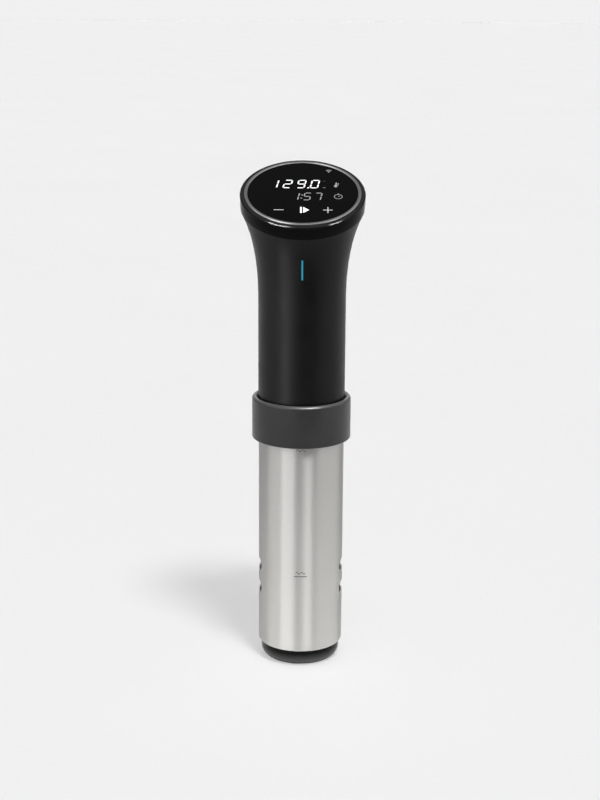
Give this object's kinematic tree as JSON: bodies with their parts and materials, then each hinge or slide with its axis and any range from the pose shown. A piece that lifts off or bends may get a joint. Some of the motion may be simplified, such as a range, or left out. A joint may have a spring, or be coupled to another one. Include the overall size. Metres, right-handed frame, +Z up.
{
  "type": "sous vide circulator",
  "caption": "Stick-shaped sous vide circulator with a tilted round touch display, matte black handle, steel skirt with outlet slots and a sliding pot clamp.",
  "frame": {"origin": "centre of the underside of the base, on the long axis of the body", "axes": "+Z up along the body; the display faces -Y and the pot clamp is towards +Y; +X is to the right of someone facing the display"},
  "size_m": [0.0794, 0.135, 0.3265],
  "materials": {
    "soft_black_plastic": "soft matte",
    "gloss_black_plastic": "polished",
    "satin_silver": "satin",
    "dark_lens": "polished",
    "seal_rubber": "matte",
    "circuit_board": "satin",
    "light_plastic": "satin",
    "screw_steel": "bright",
    "blue_light": "lit",
    "component_black": "satin",
    "motor_steel": "plated",
    "inner_plastic": "moulded",
    "heater_steel": "drawn",
    "thread_brass": "turned",
    "brushed_sleeve": "brushed round",
    "foot_plastic": "semi-gloss",
    "grey_plastic": "satin"
  },
  "bodies": {
    "housing": {"handle_shell": "soft_black_plastic", "head_cap": "gloss_black_plastic", "bezel_ring": "satin_silver", "display_lens": "dark_lens", "lens_gasket": "seal_rubber", "display_board": "circuit_board", "led_module": "light_plastic", "touch_pads": "seal_rubber", "display_screws": "screw_steel", "status_light_guide": "blue_light", "status_led": "circuit_board", "control_board": "circuit_board", "power_transformer": "component_black", "relay": "component_black", "filter_capacitors": "component_black", "radio_module": "motor_steel", "terminal_block": "light_plastic", "cord_gland": "seal_rubber", "motor_can": "motor_steel", "motor_end_plate": "motor_steel", "motor_stator": "motor_steel", "upper_bearing": "screw_steel", "lower_bearing": "screw_steel", "motor_mount": "inner_plastic", "motor_screws": "screw_steel", "mount_screws": "screw_steel", "bulkhead": "inner_plastic", "bulkhead_seal": "seal_rubber", "bulkhead_screws": "screw_steel", "shaft_tube": "heater_steel", "shaft_seal": "seal_rubber", "lower_bush": "light_plastic", "heater_coil": "heater_steel", "heater_terminals": "thread_brass", "temperature_probe": "heater_steel", "level_probes": "heater_steel"},
    "rotor": {"drive_shaft": "screw_steel", "motor_rotor": "motor_steel", "cooling_fan": "inner_plastic", "impeller": "inner_plastic", "impeller_nut": "screw_steel"},
    "skirt": {"sleeve": "brushed_sleeve", "lock_ring": "inner_plastic", "base_cap": "foot_plastic"},
    "liner": {"clamp_liner": "seal_rubber"},
    "clamp": {"clamp_ring": "grey_plastic", "pot_hook": "grey_plastic", "hook_screws": "screw_steel", "jaw_pad": "seal_rubber", "thread_insert": "thread_brass"},
    "pad": {"pressure_pad": "grey_plastic"},
    "screw": {"clamp_screw": "screw_steel", "clamp_knob": "grey_plastic"}
  },
  "joints": [
    {"name": "impeller_spin", "type": "hinge", "parent": "housing", "child": "rotor", "pos_m": [0, 0, 0.2], "axis": [0, 0, 1], "continuous": true},
    {"name": "skirt_twist", "type": "hinge", "parent": "housing", "child": "skirt", "pos_m": [0, 0, 0.15], "axis": [0, 0, 1], "range_deg": [0, 25]},
    {"name": "clamp_slide", "type": "slide", "parent": "housing", "child": "liner", "axis": [0, 0, 1], "range_m": [-0.12, 0]},
    {"name": "clamp_swivel", "type": "hinge", "parent": "liner", "child": "clamp", "pos_m": [0, 0, 0.1655], "axis": [0, 0, 1], "continuous": true},
    {"name": "pad_slide", "type": "slide", "parent": "clamp", "child": "pad", "axis": [0, -1, 0], "range_m": [0, 0.013]},
    {"name": "screw_turn", "type": "hinge", "parent": "pad", "child": "screw", "pos_m": [0, 0.08, 0.148], "axis": [0, 1, 0], "range_deg": [0, 2340]}
  ],
  "couplings": [
    {"joint": "screw_turn", "follows": "pad_slide", "rad_per_m": 3141.6}
  ]
}
